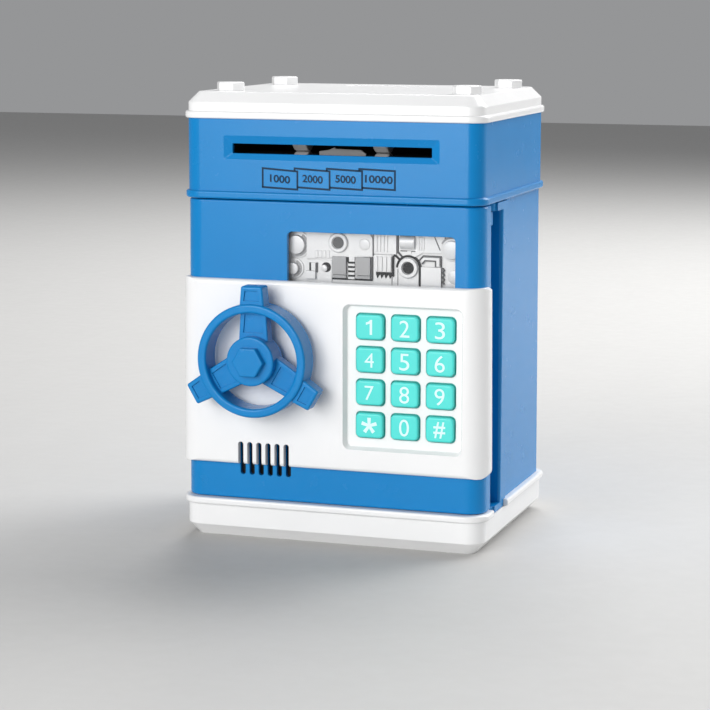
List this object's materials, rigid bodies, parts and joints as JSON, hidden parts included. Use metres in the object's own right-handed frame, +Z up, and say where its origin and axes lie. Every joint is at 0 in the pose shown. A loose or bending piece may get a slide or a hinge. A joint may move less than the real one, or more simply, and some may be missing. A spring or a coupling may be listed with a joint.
{
  "type": "toy cash machine savings bank",
  "caption": "Toy cash machine savings bank with a hinged keypad door, hand wheel latch, motor-fed note slot, coin slot in the lid and a cash chamber inside.",
  "frame": {"origin": "centre of the base tray's underside, under the middle of the upper case", "axes": "+X to the user's right as they face the door, +Y to the back, +Z up"},
  "size_m": [0.1342, 0.1243, 0.1903],
  "materials": {
    "white_shell": "glossy moulded",
    "blue_shell": "glossy moulded",
    "turquoise_key": "satin moulded",
    "clear_window": "clear moulded plastic",
    "silver_relief": "satin silver",
    "roller_rubber": "matt light grey",
    "dark_plastic": "matt moulded",
    "grey_plastic": "matt moulded",
    "gear_plastic": "natural acetal",
    "steel": "bright zinc",
    "contact_metal": "nickel plated",
    "cell_wrap": "shrink sleeve",
    "circuit_board": "solder mask",
    "membrane_rubber": "matt"
  },
  "bodies": {
    "case": {"base_tray": "white_shell", "battery_cover": "white_shell", "battery_cover_screw": "steel", "batteries": "cell_wrap", "battery_contacts": "contact_metal", "battery_springs": "contact_metal", "base_screws": "steel", "lower_case": "blue_shell", "hinge_pins": "steel", "chamber_ceiling": "grey_plastic", "upper_case": "blue_shell", "case_screws": "steel", "top_cover": "white_shell", "corner_studs": "white_shell", "cover_screws": "steel", "coin_chute": "grey_plastic", "transport_frame": "dark_plastic", "note_guide_upper": "dark_plastic", "note_deflector": "dark_plastic", "transport_screws": "steel", "drive_motor": "steel", "note_switch": "dark_plastic"},
    "drive_roller": {"drive_gear": "gear_plastic", "drive_shaft": "steel", "drive_rollers": "roller_rubber"},
    "pinch_roller": {"pinch_shaft": "steel", "pinch_rollers": "roller_rubber"},
    "idler": {"compound_gear": "gear_plastic"},
    "motor_rotor": {"motor_shaft": "steel", "motor_pinion": "gear_plastic"},
    "feeler": {"note_lever": "gear_plastic"},
    "door": {"door_shell": "blue_shell", "door_fascia": "white_shell", "window_pane": "clear_window", "relief_plate": "silver_relief", "keypad_membrane": "membrane_rubber", "control_board": "circuit_board", "speaker": "dark_plastic", "lock_solenoid": "steel", "inner_cover": "blue_shell", "inner_cover_screws": "steel"},
    "wheel": {"hand_wheel": "blue_shell", "wheel_shaft": "steel", "shaft_clip": "steel", "latch_arm": "steel", "arm_screw": "steel"},
    "bolt": {"lock_pin": "steel"},
    "button_1": {"key_1": "turquoise_key"},
    "button_2": {"key_2": "turquoise_key"},
    "button_3": {"key_3": "turquoise_key"},
    "button_4": {"key_4": "turquoise_key"},
    "button_5": {"key_5": "turquoise_key"},
    "button_6": {"key_6": "turquoise_key"},
    "button_7": {"key_7": "turquoise_key"},
    "button_8": {"key_8": "turquoise_key"},
    "button_9": {"key_9": "turquoise_key"},
    "button_star": {"key_star": "turquoise_key"},
    "button_0": {"key_0": "turquoise_key"},
    "button_hash": {"key_hash": "turquoise_key"}
  },
  "joints": [
    {"name": "door_hinge", "type": "hinge", "parent": "case", "child": "door", "pos_m": [0.06, -0.03, 0.08], "axis": [0, 0, 1], "range_deg": [0, 110]},
    {"name": "wheel_turn", "type": "hinge", "parent": "door", "child": "wheel", "pos_m": [-0.0288, -0.06, 0.0783], "axis": [0, 1, 0], "range_deg": [0, 90]},
    {"name": "bolt_slide", "type": "slide", "parent": "door", "child": "bolt", "axis": [0, 1, 0], "range_m": [0, 0.0065]},
    {"name": "press_1", "type": "slide", "parent": "door", "child": "button_1", "axis": [0, 1, 0], "range_m": [0, 0.0012], "stiffness_N_per_m": 500, "springref_m": -0.0006},
    {"name": "press_2", "type": "slide", "parent": "door", "child": "button_2", "axis": [0, 1, 0], "range_m": [0, 0.0012], "stiffness_N_per_m": 500, "springref_m": -0.0006},
    {"name": "press_3", "type": "slide", "parent": "door", "child": "button_3", "axis": [0, 1, 0], "range_m": [0, 0.0012], "stiffness_N_per_m": 500, "springref_m": -0.0006},
    {"name": "press_4", "type": "slide", "parent": "door", "child": "button_4", "axis": [0, 1, 0], "range_m": [0, 0.0012], "stiffness_N_per_m": 500, "springref_m": -0.0006},
    {"name": "press_5", "type": "slide", "parent": "door", "child": "button_5", "axis": [0, 1, 0], "range_m": [0, 0.0012], "stiffness_N_per_m": 500, "springref_m": -0.0006},
    {"name": "press_6", "type": "slide", "parent": "door", "child": "button_6", "axis": [0, 1, 0], "range_m": [0, 0.0012], "stiffness_N_per_m": 500, "springref_m": -0.0006},
    {"name": "press_7", "type": "slide", "parent": "door", "child": "button_7", "axis": [0, 1, 0], "range_m": [0, 0.0012], "stiffness_N_per_m": 500, "springref_m": -0.0006},
    {"name": "press_8", "type": "slide", "parent": "door", "child": "button_8", "axis": [0, 1, 0], "range_m": [0, 0.0012], "stiffness_N_per_m": 500, "springref_m": -0.0006},
    {"name": "press_9", "type": "slide", "parent": "door", "child": "button_9", "axis": [0, 1, 0], "range_m": [0, 0.0012], "stiffness_N_per_m": 500, "springref_m": -0.0006},
    {"name": "press_star", "type": "slide", "parent": "door", "child": "button_star", "axis": [0, 1, 0], "range_m": [0, 0.0012], "stiffness_N_per_m": 500, "springref_m": -0.0006},
    {"name": "press_0", "type": "slide", "parent": "door", "child": "button_0", "axis": [0, 1, 0], "range_m": [0, 0.0012], "stiffness_N_per_m": 500, "springref_m": -0.0006},
    {"name": "press_hash", "type": "slide", "parent": "door", "child": "button_hash", "axis": [0, 1, 0], "range_m": [0, 0.0012], "stiffness_N_per_m": 500, "springref_m": -0.0006},
    {"name": "drive_spin", "type": "hinge", "parent": "case", "child": "drive_roller", "pos_m": [0, -0.034, 0.1563], "axis": [1, 0, 0], "continuous": true},
    {"name": "pinch_spin", "type": "hinge", "parent": "case", "child": "pinch_roller", "pos_m": [0, -0.034, 0.1686], "axis": [1, 0, 0], "continuous": true},
    {"name": "idler_spin", "type": "hinge", "parent": "case", "child": "idler", "pos_m": [0.052, -0.0222, 0.1585], "axis": [1, 0, 0], "continuous": true},
    {"name": "motor_spin", "type": "hinge", "parent": "case", "child": "motor_rotor", "pos_m": [0.05, -0.01175, 0.1526], "axis": [1, 0, 0], "continuous": true},
    {"name": "feeler_tip", "type": "hinge", "parent": "case", "child": "feeler", "pos_m": [0.003, -0.038, 0.1576], "axis": [-1, 0, 0], "range_deg": [0, 25], "stiffness_Nm_per_rad": 0.002, "springref_deg": -11.46}
  ],
  "couplings": [
    {"joint": "pinch_spin", "follows": "drive_spin", "ratio": -0.9355},
    {"joint": "idler_spin", "follows": "drive_spin", "ratio": -3},
    {"joint": "motor_spin", "follows": "drive_spin", "ratio": 9}
  ]
}
